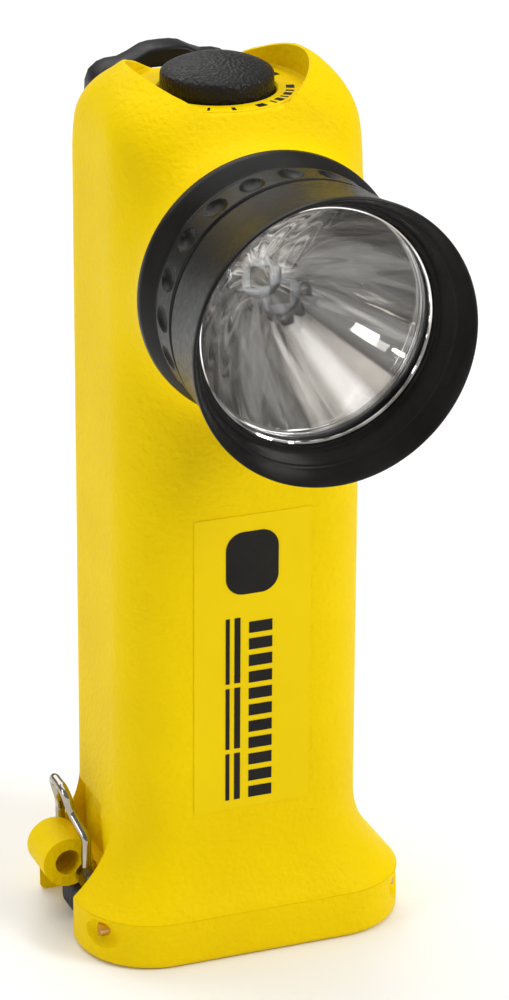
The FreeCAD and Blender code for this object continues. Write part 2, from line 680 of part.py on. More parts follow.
def make_clip_spring():
    spring = coil(2.9, 0.6, 1.6, 8.0, Vector(0, 0, 0))
    spring.rotate(Vector(0, 0, 0), Y_AXIS, 90)
    spring.translate(Vector(-4.0, CLIP_PIVOT_Y, CLIP_PIVOT_Z))
    return spring


def clip_outline():
    """Front outline of the clip, half by half: humped top, round shoulders, tapering blade."""
    half = [
        Vector(0, 0, CLIP_TOP_Z), Vector(4.0, 0, CLIP_TOP_Z - 0.3), Vector(9.0, 0, CLIP_TOP_Z - 2.6),
        Vector(12.0, 0, CLIP_TOP_Z - 2.8), Vector(CLIP_HALF_X, 0, CLIP_TOP_Z - 6.0),
        Vector(CLIP_HALF_X, 0, CLIP_PIVOT_Z - 8.0), Vector(11.5, 0, CLIP_PIVOT_Z - 22.0),
        Vector(10.0, 0, CLIP_TIP_Z + 6.0), Vector(5.0, 0, CLIP_TIP_Z),
    ]
    mirrored = [Vector(-p.x, p.y, p.z) for p in reversed(half[1:])]
    return half + mirrored


def make_clip_lever():
    slab = polygon([p + Vector(0, CLIP_FRONT_Y, 0) for p in clip_outline()])
    slab = slab.extrude(Vector(0, CLIP_BACK_Y - CLIP_FRONT_Y, 0))
    thin = CLIP_BACK_Y - 3.4
    slab = slab.cut(box(-40, 40, 20, thin, 60, CLIP_PIVOT_Z - 7.0))
    window = box(-9.6, 9.6, 20, 40, CLIP_PIVOT_Z - 7.0, CLIP_TOP_Z - 7.4)
    arch = polygon([Vector(-9.6, 20, CLIP_TOP_Z - 7.5), Vector(9.6, 20, CLIP_TOP_Z - 7.5),
                    Vector(4.6, 20, CLIP_TOP_Z - 4.0), Vector(-4.6, 20, CLIP_TOP_Z - 4.0)])
    slab = slab.cut(window).cut(arch.extrude(Vector(0, 20, 0)))
    nub_half = 4.5
    nub_root, nub_tip = thin + 0.2, COLUMN_HALF_Y + 0.45
    nub = polygon([
        Vector(-nub_half, nub_root, CLIP_TIP_Z + 2.0), Vector(-nub_half, nub_root, CLIP_TIP_Z + 14.0),
        Vector(-nub_half, nub_tip, CLIP_TIP_Z + 7.0), Vector(-nub_half, nub_tip, CLIP_TIP_Z + 5.0),
    ])
    clip = fuse_all([slab, nub.extrude(Vector(2 * nub_half, 0, 0))])
    bore = rod(CLIP_PIN_R + RUNNING, Vector(-20, CLIP_PIVOT_Y, CLIP_PIVOT_Z), X_AXIS, 40)
    return clip.cut(bore).removeSplitter()


MAKERS = {
    "body_shell": make_body_shell,
    "mode_ring": make_mode_ring,
    "front_label": make_front_label,
    "label_marks": make_label_marks,
    "button_cap": make_button_cap,
    "button_stem": make_button_stem,
    "button_spring": make_button_spring,
    "stem_seal": make_stem_seal,
    "switch_housing": make_switch_housing,
    "switch_board": make_switch_board,
    "tact_switch": make_tact_switch,
    "face_cap": make_face_cap,
    "lens": make_lens,
    "lens_gasket": make_lens_gasket,
    "neck_o_ring": make_neck_o_ring,
    "reflector": make_reflector,
    "led_board": make_led_board,
    "led_emitter": make_led_emitter,
    "led_screws": make_led_screws,
    "heat_sink": make_heat_sink,
    "driver_board": make_driver_board,
    "driver_components": make_driver_components,
    "battery_carrier": make_battery_carrier,
    "carrier_contacts": make_carrier_contacts,
    "top_terminal": make_top_terminal,
    "lead_wires": make_lead_wires,
    "battery_door": make_battery_door,
    "door_gasket": make_door_gasket,
    "door_contact_plate": make_door_contact_plate,
    "door_contact_springs": make_door_contact_springs,
    "charge_contacts": make_charge_contacts,
    "hinge_pin": make_hinge_pin,
    "latch_lever": make_latch_lever,
    "latch_pin": make_latch_pin,
    "latch_spring": make_latch_spring,
    "latch_bumper": make_latch_bumper,
    "attachment_ring": make_attachment_ring,
    "clip_bracket": make_clip_bracket,
    "clip_screws": make_clip_screws,
    "clip_pin": make_clip_pin,
    "clip_spring": make_clip_spring,
    "clip_lever": make_clip_lever,
}


def make_cells():
    cells = {}
    for column, side in enumerate((-1, 1)):
        for level in range(2):
            name = "battery_cell_%d" % (2 * column + level + 1)
            cells[name] = cell_solid(side * CELL_X, CELL_BASE_Z + level * CELL_LENGTH)
    return cells


def main():
    os.makedirs("parts", exist_ok=True)
    shapes = {name: make() for name, make in MAKERS.items()}
    shapes.update(make_cells())
    for name, shape in shapes.items():
        shape.exportStep("parts/%s.step" % name)
        facts = (name, len(shape.Solids), shape.isValid(), shape.Volume)
        print("%-22s solids %d valid %s volume %.1f" % facts)


main()
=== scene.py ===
import json
import math

import bmesh
import bpy
import numpy as np
from mathutils import Matrix, Vector


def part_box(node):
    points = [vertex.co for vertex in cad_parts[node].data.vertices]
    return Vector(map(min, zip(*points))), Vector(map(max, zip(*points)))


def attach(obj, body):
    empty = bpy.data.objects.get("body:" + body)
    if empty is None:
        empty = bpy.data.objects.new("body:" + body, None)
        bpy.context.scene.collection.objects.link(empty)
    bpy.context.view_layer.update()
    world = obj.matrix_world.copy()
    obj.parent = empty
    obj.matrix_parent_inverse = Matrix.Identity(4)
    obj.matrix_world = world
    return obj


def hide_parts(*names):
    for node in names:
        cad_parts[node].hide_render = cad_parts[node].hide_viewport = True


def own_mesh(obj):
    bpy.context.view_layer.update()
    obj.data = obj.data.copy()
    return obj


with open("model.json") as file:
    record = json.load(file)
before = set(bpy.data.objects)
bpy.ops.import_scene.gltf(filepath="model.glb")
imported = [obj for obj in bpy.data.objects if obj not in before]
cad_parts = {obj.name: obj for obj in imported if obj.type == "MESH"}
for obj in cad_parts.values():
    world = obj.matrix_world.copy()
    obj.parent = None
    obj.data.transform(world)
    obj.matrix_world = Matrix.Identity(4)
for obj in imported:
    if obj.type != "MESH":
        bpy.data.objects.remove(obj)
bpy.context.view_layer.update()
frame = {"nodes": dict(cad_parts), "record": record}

# Right-angle firefighter flashlight, standing on its foot with the lamp facing -Y.
# Shapes are in millimetres until a mesh is made. Materials, lights and the camera are in metres.
MM = 0.001

# --- housing outline ---
SEAM_Z = 9.84
SEAM_BEVEL = 0.12
SEAM_TUCK = 0.997
BODY_TOP = 178.0
COLUMN_X = 25.1
COLUMN_Y = 21.05
CORNER_R = 12.0
FLARE_BOTTOM = 11.2
FLARE_TOP = 27.0
FLARE_POWER = 2.2
FLARE_GROW = {"x": 8.4, "front": 5.95, "back": 3.95, "corner": 3.5}
ROUND_CENTRE_Z = BODY_TOP - COLUMN_Y
SHOULDER_R = 13.5
SEGMENTS = 288

# --- top of the housing: dish, button well and the hole for the button's stem ---
DISH_R = 17.5
DISH_Z = 170.5
DISH_EDGE_DROP = 0.35
DISH_WALL_FOOT = 0.6
WELL_R = 11.25
WELL_Z = 168.0
WELL_BEVEL = 0.25
STEM_HOLE_R = 4.08

# --- inside of the housing ---
CAVITY_X = 22.5
CAVITY_Y = 18.5
CAVITY_CORNER_R = 9.5
CAVITY_SHOULDER_Z = 157.0
CEILING_Z = 165.5
CEILING_Y = 16.4
CEILING_MIDDLE = (15.0, 12.0)

# --- rings of the housing skin: the spans are (low z, high z, number of rings) ---
FAN_CENTRE_Z = 148.0
FAN_RINGS = 44
SIDE_SPANS = ((FLARE_BOTTOM, FLARE_TOP, 16), (32.0, 108.0, 16), (110.0, FAN_CENTRE_Z, 48))

# --- lamp head: distances are along -Y from the column's axis ---
HEAD_Z = 140.6
SEAT = 27.0
SEAT_R = 25.6
BOSS_START = 6.0
BOSS_R = 19.5
BOSS_SLOPE_COSINE = 0.96
BOSS_BLEND = 8.0
NECK_BACK = 24.0
NECK_FRONT = 42.5
NECK_R = 22.65
NECK_BORE_R = 20.8
SEAL_GROOVE = (29.2, 30.8)
SEAL_GROOVE_R = 21.1
CAP_BACK = 27.2
CAP_BACK_R = 26.0
CAP_BORE_R = 22.8
CAP_BORE_FRONT = 44.6
CAP_LENS_BORE_R = 23.9
CAP_LENS_BORE_BACK = 45.5
CAP_OPENING_R = 23.0
LIP = 61.1
REFLECTOR_VERTEX = 23.0
REFLECTOR_FOCUS = 5.0
REFLECTOR_HOLE_R = 4.0
REFLECTOR_RIM_R = 22.0
REFLECTOR_WALL = 0.8
REFLECTOR_FRONT = 47.3
LENS_FRONT = 50.8
LENS_THICK = 2.0
LENS_R = 23.7
LENS_MIDDLE_R = 12.0

# --- grip band of the face cap: distances are from the cap's back ---
DIMPLES = 20
GRIP_START = 7.3
GRIP_LENGTH = 7.2
GRIP_R = 24.75
GRIP_TAPER = 0.25
GRIP_STEPS = 26
DIMPLE_MIDDLE = 10.9
DIMPLE_HALF_LENGTH = 3.0
DIMPLE_HALF_WIDTH = 2.25
DIMPLE_DEPTH = 0.95
DIMPLE_POWER = 0.6

# --- latch bay ---
BAY_X = -25.4
BAY_Y = (-9.0, 14.0)
BAY_TOP_Z = 27.5
REAR_WING_TOP_Z = 16.5
POCKET_X = -22.9
POCKET_Z = (11.5, 25.6)
POCKET_FRONT_Y = (-5.5, -2.0)

# --- button ---
BUTTON_WALL = 1.8
BUTTON_HOLLOW = 3.0
BUTTON_RIM = 4.3
DOME_INSET = 0.75
DOME_LIFT = 0.1
DOME_POWER = 0.92
DOME_STEPS = 12

# --- printed dashes round the button: heights are above the dish ---
MARK_LIFT = 0.13
MARK_THICK = 0.05
MARK_R = (13.0, 14.6)
MARK_POINTS = 5

# --- clip ---
CLIP_FRONT_Y = 26.4
CLIP_BLADE_THICK = 3.4
CLIP_BLADE_TOP_Z = 142.0
CLIP_EDGE_R = 0.7
NUB_X = 4.5

# --- rubber bumper ---
RIBS = 5
RIB_VALLEY = 0.84
END_POWER = 8
END_SCALE = 0.05
ROLL_POWER = 0.7

# --- materials: most of a noise texture's values fall between these two ---
NOISE_LOW = 0.3
NOISE_HIGH = 0.7

# --- camera ---
FOCAL_LENGTH = 156.1
SENSOR_WIDTH = 36.0
CAMERA_PLACE = (-0.2765, -0.7305, 0.4141)
CAMERA_RIGHT = (0.9326, -0.3610, 0.0050)
CAMERA_AHEAD = (0.3347, 0.8593, -0.3867)


# ------------------------------------------------------------------ meshes
def clean_mesh(mesh, merge_distance):
    """Merge points that coincide and turn every face outward."""
    cleaner = bmesh.new()
    cleaner.from_mesh(mesh)
    bmesh.ops.remove_doubles(cleaner, verts=cleaner.verts, dist=merge_distance)
    bmesh.ops.recalc_face_normals(cleaner, faces=cleaner.faces)
    cleaner.to_mesh(mesh)
    cleaner.free()


def new_object(name, data):
    made = bpy.data.objects.new(name, data)
    bpy.context.scene.collection.objects.link(made)
    return made


def raw_mesh(name, points, faces):
    mesh = bpy.data.meshes.new(name)
    mesh.from_pydata([Vector(p) * MM for p in points], [], faces)
    return mesh


def dress_mesh(name, mesh, body, slot, replaces=(), smooth_angle=35.0, material=None):
    """Make a mesh a piece that rides one CAD body, with its slot's material unless another is given."""
    mesh.validate()
    clean_mesh(mesh, 1e-6)
    mesh.shade_smooth()
    mesh.set_sharp_from_angle(angle=math.radians(smooth_angle))
    piece = new_object(name, mesh)
    mesh.materials.append(material or MATERIALS[slot])
    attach(piece, body)
    if replaces:
        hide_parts(*replaces)
    return piece


def make_piece(name, points, faces, body, slot, **dressing):
    """A mesh piece from points in millimetres."""
    return dress_mesh(name, raw_mesh(name, points, faces), body, slot, **dressing)


def scratch(name, points, faces):
    """A working object that is gone before the scene is finished."""
    mesh = raw_mesh(name, points, faces)
    clean_mesh(mesh, 1e-7)
    return new_object(name, mesh)


def join_rings(rings, closed_tube=False):
    """Quads between rings of equal length. A ring of one point makes a fan."""
    points = []
    starts = []
    for ring in rings:
        starts.append(len(points))
        points.extend(ring)
    faces = []
    pairs = list(zip(range(len(rings) - 1), range(1, len(rings))))
    if closed_tube:
        pairs.append((len(rings) - 1, 0))
    for low, high in pairs:
        count = max(len(rings[low]), len(rings[high]))
        for i in range(count):
            j = (i + 1) % count
            a, b = starts[low] + i, starts[low] + j
            c, d = starts[high] + j, starts[high] + i
            if len(rings[low]) == 1:
                faces.append((starts[low], c, d))
            elif len(rings[high]) == 1:
                faces.append((a, b, starts[high]))
            else:
                faces.append((a, b, c, d))
    return points, faces


def circle(radius, segments):
    """Points of a circle round the origin; radius 0 gives one point."""
    if radius <= 0:
        return [(0.0, 0.0)]
    turns = [2 * math.pi * k / segments for k in range(segments)]
    return [(radius * math.cos(a), radius * math.sin(a)) for a in turns]


def head_rings(profile, segments):
    """Rings about the lamp axis from (distance, radius) pairs."""
    return [[(x, -distance, HEAD_Z + z) for x, z in circle(radius, segments)]
            for distance, radius in profile]


def upright_rings(profile, segments):
    """Rings about the column axis from (radius, z) pairs."""
    return [[(x, y, z) for x, y in circle(radius, segments)] for radius, z in profile]


def shifted(start, steps):
    """(distance, radius) pairs from pairs whose distance is counted from start."""
    return [(start + along, radius) for along, radius in steps]


def mirrored(half):
    """A closed outline of (x, z) points from its half on the +X side."""
    return half + [(-x, z) for x, z in reversed(half) if x > 0]


def box_points(low, high):
    points = [(x, y, z) for x in (low[0], high[0]) for y in (low[1], high[1]) for z in (low[2], high[2])]
    faces = [(0, 1, 3, 2), (4, 6, 7, 5), (0, 4, 5, 1), (2, 3, 7, 6), (0, 2, 6, 4), (1, 5, 7, 3)]
    return points, faces


def prism_points(outline, offset):
    """A prism from a closed outline of 3-D points pushed along offset."""
    count = len(outline)
    far = [tuple(a + b for a, b in zip(p, offset)) for p in outline]
    faces = [tuple(range(count)), tuple(range(2 * count - 1, count - 1, -1))]
    faces += [(i, (i + 1) % count, count + (i + 1) % count, count + i) for i in range(count)]
    return list(outline) + far, faces


def apply_modifiers(work):
    """Turn a working object with modifiers into a plain mesh, and remove the object."""
    bpy.context.view_layer.update()
    graph = bpy.context.evaluated_depsgraph_get()
    mesh = bpy.data.meshes.new_from_object(work.evaluated_get(graph))
    name = work.name
    bpy.data.objects.remove(work)
    mesh.name = name
    return mesh


def carve(work, cutters):
    """Subtract working solids from a working mesh and return the plain mesh."""
    for cutter in cutters:
        cut = work.modifiers.new("cut", "BOOLEAN")
        cut.operation = "DIFFERENCE"
        cut.solver = "EXACT"
        cut.object = cutter
    mesh = apply_modifiers(work)
    for cutter in cutters:
        bpy.data.objects.remove(cutter)
    return mesh


def round_edges(work, width):
    """Round the sharp edges of a working object and return the plain mesh."""
    soften = work.modifiers.new("soften", "BEVEL")
    soften.width = width * MM
    soften.segments = 3
    soften.limit_method = "ANGLE"
    soften.angle_limit = math.radians(40)
    return apply_modifiers(work)


# ------------------------------------------------------------------ materials
class Nodes:
    """A short way to wire a Principled material."""

    def __init__(self, name):
        self.material = bpy.data.materials.new(name)
        self.material.use_nodes = True
        self.tree = self.material.node_tree
        self.shader = self.tree.nodes["Principled BSDF"]
        self.place = self.add("ShaderNodeTexCoord").outputs["Object"]

    def add(self, kind, **settings):
        node = self.tree.nodes.new(kind)
        for key, value in settings.items():
            if hasattr(node, key):
                setattr(node, key, value)
            else:
                node.inputs[key].default_value = value
        return node

    def link(self, source, target):
        self.tree.links.new(source, target)

    def axes(self):
        """The X, Y and Z of the object's own coordinates."""
        node = self.add("ShaderNodeSeparateXYZ")
        self.link(self.place, node.inputs["Vector"])
        return node.outputs

    def calculate(self, operation, value, number):
        node = self.add("ShaderNodeMath", operation=operation)
        self.link(value, node.inputs[0])
        node.inputs[1].default_value = number
        return node.outputs[0]

    def noise(self, scale, detail=3.0, roughness=0.55, place=None):
        node = self.add("ShaderNodeTexNoise", Scale=scale, Detail=detail, Roughness=roughness)
        self.link(place or self.place, node.inputs["Vector"])
        return node.outputs["Fac"]

    def cells(self, scale, smooth):
        node = self.add("ShaderNodeTexVoronoi", Scale=scale, feature="SMOOTH_F1")
        node.inputs["Smoothness"].default_value = smooth
        self.link(self.place, node.inputs["Vector"])
        return node.outputs["Distance"]

    def ramp(self, value, stops):
        node = self.add("ShaderNodeValToRGB")
        ramp = node.color_ramp
        while len(ramp.elements) < len(stops):
            ramp.elements.new(0.5)
        for element, (position, color) in zip(ramp.elements, stops):
            element.position = position
            element.color = (*color, 1.0)
        self.link(value, node.inputs["Fac"])
        return node.outputs["Color"]

    def fit(self, value, low, high, to_low, to_high):
        node = self.add("ShaderNodeMapRange")
        ends = {"From Min": low, "From Max": high, "To Min": to_low, "To Max": to_high}
        for socket, number in ends.items():
            node.inputs[socket].default_value = number
        self.link(value, node.inputs["Value"])
        return node.outputs["Result"]

    def bump(self, height, distance, strength, under=None):
        node = self.add("ShaderNodeBump", Strength=strength, Distance=distance)
        self.link(height, node.inputs["Height"])
        if under:
            self.link(under, node.inputs["Normal"])
        return node.outputs["Normal"]

    def color(self, value):
        self.link(value, self.shader.inputs["Base Color"])

    def normal(self, value):
        self.link(value, self.shader.inputs["Normal"])

    def mottle(self, scale, low, high):
        """Base colour that drifts between two shades."""
        self.color(self.ramp(self.noise(scale), [(NOISE_LOW, low), (NOISE_HIGH, high)]))

    def sheen(self, scale, low, high, detail=3.0):
        """Roughness that drifts between two values."""
        drift = self.fit(self.noise(scale, detail), NOISE_LOW, NOISE_HIGH, low, high)
        self.link(drift, self.shader.inputs["Roughness"])

    def grain(self, scale, distance, strength):
        """Fine even bumps."""
        self.normal(self.bump(self.noise(scale), distance, strength))

    def put(self, **numbers):
        for key, value in numbers.items():
            self.shader.inputs[key.replace("_", " ")].default_value = value


def yellow_plastic():
    """Moulded shell with a fine grain over a soft leather texture."""
    n = Nodes("yellow_shell")
    n.mottle(45.0, (0.85, 0.595, 0.0), (0.90, 0.64, 0.0))
    n.sheen(1400.0, 0.42, 0.56, detail=2.0)
    grain = n.noise(1100.0)
    leather = n.cells(780.0, smooth=0.7)
    n.normal(n.bump(grain, 0.00032, 0.75, under=n.bump(leather, 0.00028, 0.5)))
    n.put(Specular_IOR_Level=0.05)
    return n.material


def black_polymer():
    n = Nodes("black_polymer")
    n.mottle(60.0, (0.008, 0.0075, 0.007), (0.014, 0.013, 0.012))
    n.sheen(900.0, 0.28, 0.4, detail=2.0)
    n.grain(1700.0, 0.00006, 0.45)
    n.put(Specular_IOR_Level=0.13)
    return n.material


def pebbled_black():
    """The button's rubbery skin: rounded pebbles with a fine grain on them."""
    n = Nodes("pebbled_black")
    n.mottle(80.0, (0.009, 0.0085, 0.008), (0.016, 0.015, 0.014))
    n.sheen(700.0, 0.34, 0.5, detail=2.0)
    pebbles = n.cells(1400.0, smooth=0.35)
    n.normal(n.bump(pebbles, 0.00035, 0.6, under=n.bump(n.noise(2500.0), 0.00005, 0.4)))
    n.put(Specular_IOR_Level=0.2)
    return n.material


def rubber_black():
    n = Nodes("black_rubber")
    n.mottle(120.0, (0.014, 0.014, 0.016), (0.03, 0.03, 0.033))
    n.sheen(500.0, 0.42, 0.62)
    n.grain(1400.0, 0.00005, 0.5)
    return n.material


def metal(name, tint, rough_low, rough_high):
    n = Nodes(name)
    n.mottle(225.0, tuple(0.82 * c for c in tint), tint)
    n.sheen(900.0, rough_low, rough_high)
    n.grain(1350.0, 0.00002, 0.3)
    n.put(Metallic=1.0)
    return n.material


def mirror_chrome():
    """Plated bowl with soft ripples that run from the lamp axis to the rim; its colour carries painted
    reflection streaks, dark and bright, along the same ripples.
    """
    n = Nodes("bright_reflector")
    axes = n.axes()
    height = n.calculate("SUBTRACT", axes["Z"], HEAD_Z * MM)
    outward = n.add("ShaderNodeCombineXYZ")
    n.link(axes["X"], outward.inputs["X"])
    n.link(height, outward.inputs["Z"])
    heading = n.add("ShaderNodeVectorMath", operation="NORMALIZE")
    n.link(outward.outputs[0], heading.inputs[0])
    ripples_and_painted_streaks = n.noise(2.0, detail=1.0, roughness=0.4, place=heading.outputs[0])
    # Painted reflection: the base colour swings between dark and bright streaks that stand in for
    # surroundings seen in the mirror; the bump below is the real ripple.
    n.color(n.ramp(ripples_and_painted_streaks, [(0.40, (0.52, 0.49, 0.45)), (0.49, (0.98, 0.96, 0.93))]))
    n.sheen(220.0, 0.015, 0.05)
    n.normal(n.bump(ripples_and_painted_streaks, 0.0016, 0.8))
    n.put(Metallic=1.0)
    return n.material


def clear_polycarbonate():
    n = Nodes("clear_lens")
    n.mottle(20.0, (0.97, 0.98, 0.99), (1.0, 1.0, 1.0))
    n.sheen(160.0, 0.0, 0.02)
    n.put(Transmission_Weight=1.0, IOR=1.45, Alpha=0.35)
    return n.material


def plain_plastic(name, low, high, rough_low, rough_high, grain=700.0, shine=0.5):
    n = Nodes(name)
    n.mottle(grain * 0.15, low, high)
    n.sheen(grain, rough_low, rough_high)
    n.grain(grain * 1.5, 0.00004, 0.3)
    n.put(Specular_IOR_Level=shine)
    return n.material


def cell_wrap():
    """Printed sleeve: dark blue and amber bands that repeat with the height."""
    half_period = 0.0253
    dark_blue = (0.05, 0.07, 0.2)
    stops = [(0.0, dark_blue), (0.52, dark_blue), (0.56, (0.75, 0.45, 0.08)), (1.0, (0.8, 0.5, 0.1))]
    n = Nodes("cell_wrap")
    wave = n.calculate("PINGPONG", n.axes()["Z"], half_period)
    n.color(n.ramp(n.fit(wave, 0.0, half_period, 0.0, 1.0), stops))
    n.sheen(300.0, 0.18, 0.3)
    n.grain(500.0, 0.00003, 0.3)
    return n.material


MATERIALS = {
    "yellow_shell": yellow_plastic(),
    "black_polymer": black_polymer(),
    "black_rubber": rubber_black(),
    "clear_lens": clear_polycarbonate(),
    "bright_reflector": mirror_chrome(),
    "steel_wire": metal("steel_wire", (0.46, 0.42, 0.36), 0.05, 0.14),
    "spring_steel": metal("spring_steel", (0.55, 0.55, 0.56), 0.2, 0.34),
    "aluminium": metal("aluminium", (0.72, 0.73, 0.75), 0.28, 0.42),
    "circuit_board": plain_plastic("circuit_board", (0.01, 0.10, 0.04), (0.02, 0.16, 0.06), 0.25, 0.4),
    "chip_black": plain_plastic("chip_black", (0.02, 0.02, 0.02), (0.04, 0.04, 0.04), 0.4, 0.6),
    "led_phosphor": plain_plastic("led_phosphor", (0.10, 0.09, 0.05), (0.14, 0.12, 0.07), 0.1, 0.2),
    "cell_wrap": cell_wrap(),
    "contact_nickel": metal("contact_nickel", (0.74, 0.71, 0.64), 0.15, 0.3),
    "brass_contact": metal("brass_contact", (0.78, 0.52, 0.28), 0.25, 0.42),
    "label_film": plain_plastic("label_film", (0.85, 0.60, 0.0), (0.89, 0.64, 0.0), 0.38, 0.5,
                                grain=300.0, shine=0.08),
    "label_print": plain_plastic("label_print", (0.010, 0.009, 0.008), (0.018, 0.015, 0.012), 0.4, 0.55,
                                 shine=0.12),
    "red_wire": plain_plastic("red_wire", (0.4, 0.01, 0.01), (0.5, 0.02, 0.02), 0.35, 0.5),
}
PEBBLED = pebbled_black()


def dress_cad_nodes():
    slots = {part["node"]: part["material_slot"] for part in frame["record"]["subparts"]}
    for name, node in frame["nodes"].items():
        node.data.materials.clear()
        node.data.materials.append(MATERIALS[slots[name]])


# ------------------------------------------------------------------ housing
def rounded_box_distance(dx, dy, corner):
    """Distance to a rounded rectangle; dx and dy are measured from its corner arcs' centres."""
    return np.hypot(np.maximum(dx, 0), np.maximum(dy, 0)) + np.minimum(np.maximum(dx, dy), 0) - corner


def flare_amount(z):
    return np.clip((FLARE_TOP - z) / (FLARE_TOP - SEAM_Z), 0.0, 1.0) ** FLARE_POWER


def column_distance(x, y, z):
    """Distance in its own horizontal slice from a point to the column's outline."""
    grow = flare_amount(z)
    half_x = COLUMN_X + FLARE_GROW["x"] * grow
    front = COLUMN_Y + FLARE_GROW["front"] * grow
    back = COLUMN_Y + FLARE_GROW["back"] * grow
    corner = CORNER_R + FLARE_GROW["corner"] * grow
    rise = np.clip((z - ROUND_CENTRE_Z) / COLUMN_Y, 0.0, 0.9999)
    narrow = np.sqrt(1.0 - rise * rise)
    shoulder = np.clip((z - (BODY_TOP - SHOULDER_R)) / SHOULDER_R, 0.0, 1.0)
    half_x = half_x - SHOULDER_R * (1.0 - np.sqrt(1.0 - shoulder * shoulder))
    half_y = (front + back) / 2 * narrow
    middle_y = (back - front) / 2
    corner = np.minimum(corner, half_y * 0.98)
    dx = np.abs(x) - (half_x - corner)
    dy = np.abs(y - middle_y) - (half_y - corner)
    return rounded_box_distance(dx, dy, corner)


def boss_distance(x, y, z):
    """Distance to the cone that the lamp head is seated on."""
    widening = (SEAT_R - BOSS_R) / (SEAT - BOSS_START)
    radius = BOSS_R + np.maximum(-y - BOSS_START, -BOSS_START) * widening
    return np.maximum((np.hypot(x, z - HEAD_Z) - radius) * BOSS_SLOPE_COSINE, y)


def housing_distance(x, y, z):
    """Distance to the column and boss with a fillet between them, cut flat at the lamp head's seat."""
    column = column_distance(x, y, z)
    boss = boss_distance(x, y, z)
    overlap = np.maximum(BOSS_BLEND - np.abs(column - boss), 0.0) / BOSS_BLEND
    joined = np.minimum(column, boss) - overlap * overlap * BOSS_BLEND / 4
    return np.maximum(joined, -y - SEAT)


def is_inside(origin, direction, distance):
    """Whether the point at each distance along each ray is inside the housing."""
    points = origin + direction * distance[:, None]
    return housing_distance(points[:, 0], points[:, 1], points[:, 2]) < 0


def cast(origin, direction, far=48.0, steps=96, halvings=24):
    """Where each ray leaves the housing for the last time; arrays of shape (n, 3)."""
    stride = far / steps
    near = np.zeros(len(direction))
    for step in range(1, steps + 1):
        distance = np.full(len(direction), step * stride)
        near = np.where(is_inside(origin, direction, distance), distance, near)
    end = near + stride
    for _ in range(halvings):
        middle = (near + end) / 2
        inside = is_inside(origin, direction, middle)
        near = np.where(inside, middle, near)
        end = np.where(inside, end, middle)
    return origin + direction * near[:, None]


def around(count):
    """Angles of one full turn."""
    return 2 * np.pi * np.arange(count) / count


def level_ring(z, turns):
    """The housing's outline at one height."""
    direction = np.stack([np.cos(turns), np.sin(turns), np.zeros_like(turns)], 1)
    return cast(np.array([0.0, 0.0, z]), direction)


def fan_ring(elevation, turns):
    """The housing's surface along rays that rise from one point on the column's axis."""
    direction = np.stack([np.cos(turns) * np.cos(elevation), np.sin(turns) * np.cos(elevation),
                          np.sin(elevation)], 1)
    return cast(np.array([0.0, 0.0, FAN_CENTRE_Z]), direction)


def rim_elevation(turns, lowest=30.0, highest=85.0, halvings=16):
    """Elevation at which each ray meets the edge of the dish on the top."""
    low = np.full(len(turns), math.radians(lowest))
    high = np.full(len(turns), math.radians(highest))
    for _ in range(halvings):
        middle = (low + high) / 2
        points = fan_ring(middle, turns)
        outside = (np.hypot(points[:, 0], points[:, 1]) > DISH_R) | (points[:, 2] < DISH_Z)
        low = np.where(outside, middle, low)
        high = np.where(outside, high, middle)
    return low


def rounded_ring(half_x, half_y, z, turns, far=80.0, halvings=40):
    """Points of a level rounded rectangle, one on each ray from the centre."""
    corner = min(CAVITY_CORNER_R, half_y - 2.0)
    direction = np.stack([np.cos(turns), np.sin(turns)], 1)
    near = np.zeros(len(turns))
    end = np.full(len(turns), far)
    for _ in range(halvings):
        middle = (near + end) / 2
        dx = np.abs(direction[:, 0] * middle) - (half_x - corner)
        dy = np.abs(direction[:, 1] * middle) - (half_y - corner)
        inside = rounded_box_distance(dx, dy, corner) < 0
        near = np.where(inside, middle, near)
        end = np.where(inside, end, middle)
    return np.column_stack([direction * near[:, None], np.full(len(turns), z)])


def shrunk(ring, share):
    """A copy of a ring drawn in toward the column's axis."""
    copy = ring.copy()
    copy[:, :2] *= share
    return copy


def side_rings(turns):
    """The outside, from the seam up to where the sweep over the top starts."""
    levels = [SEAM_Z, SEAM_Z + SEAM_BEVEL]
    for low, high, count in SIDE_SPANS:
        levels += list(np.linspace(low, high, count))
    rings = [level_ring(z, turns) for z in levels]
    rings[0] = shrunk(rings[0], SEAM_TUCK)
    return rings


def top_rings(turns):
    """The outside over the top to the dish's edge, then down the dish's wall to its floor."""
    rim = rim_elevation(turns)
    rings = [fan_ring(rim * share, turns) for share in np.linspace(0.0, 1.0, FAN_RINGS)[1:-1]]
    rings.append(fan_ring(rim * 0.992, turns))
    edge = fan_ring(rim, turns)
    inner = shrunk(edge, 0.988)
    inner[:, 2] -= np.minimum(edge[:, 2] - DISH_Z, DISH_EDGE_DROP)
    foot = inner.copy()
    foot[:, 2] = np.minimum(foot[:, 2], DISH_Z + DISH_WALL_FOOT)
    floor = shrunk(inner, 0.97)
    floor[:, 2] = DISH_Z
    return rings + [inner, foot, floor]


def well_rings(turns):
    """The button's well and the hole for its stem."""
    unit = np.column_stack([np.cos(turns), np.sin(turns), np.zeros_like(turns)])
    profile = ((WELL_R + WELL_BEVEL, DISH_Z), (WELL_R, DISH_Z - WELL_BEVEL), (WELL_R, WELL_Z),
               (STEM_HOLE_R, WELL_Z), (STEM_HOLE_R, CEILING_Z))
    return [unit * radius + np.array([0.0, 0.0, z]) for radius, z in profile]


def cavity_rings(turns):
    """The inside, from the ceiling down to the seam."""
    sizes = ((*CEILING_MIDDLE, CEILING_Z), (CAVITY_X, CEILING_Y, CEILING_Z),
             (CAVITY_X, CAVITY_Y, CAVITY_SHOULDER_Z), (CAVITY_X, CAVITY_Y, SEAM_Z))
    return [rounded_ring(half_x, half_y, z, turns) for half_x, half_y, z in sizes]


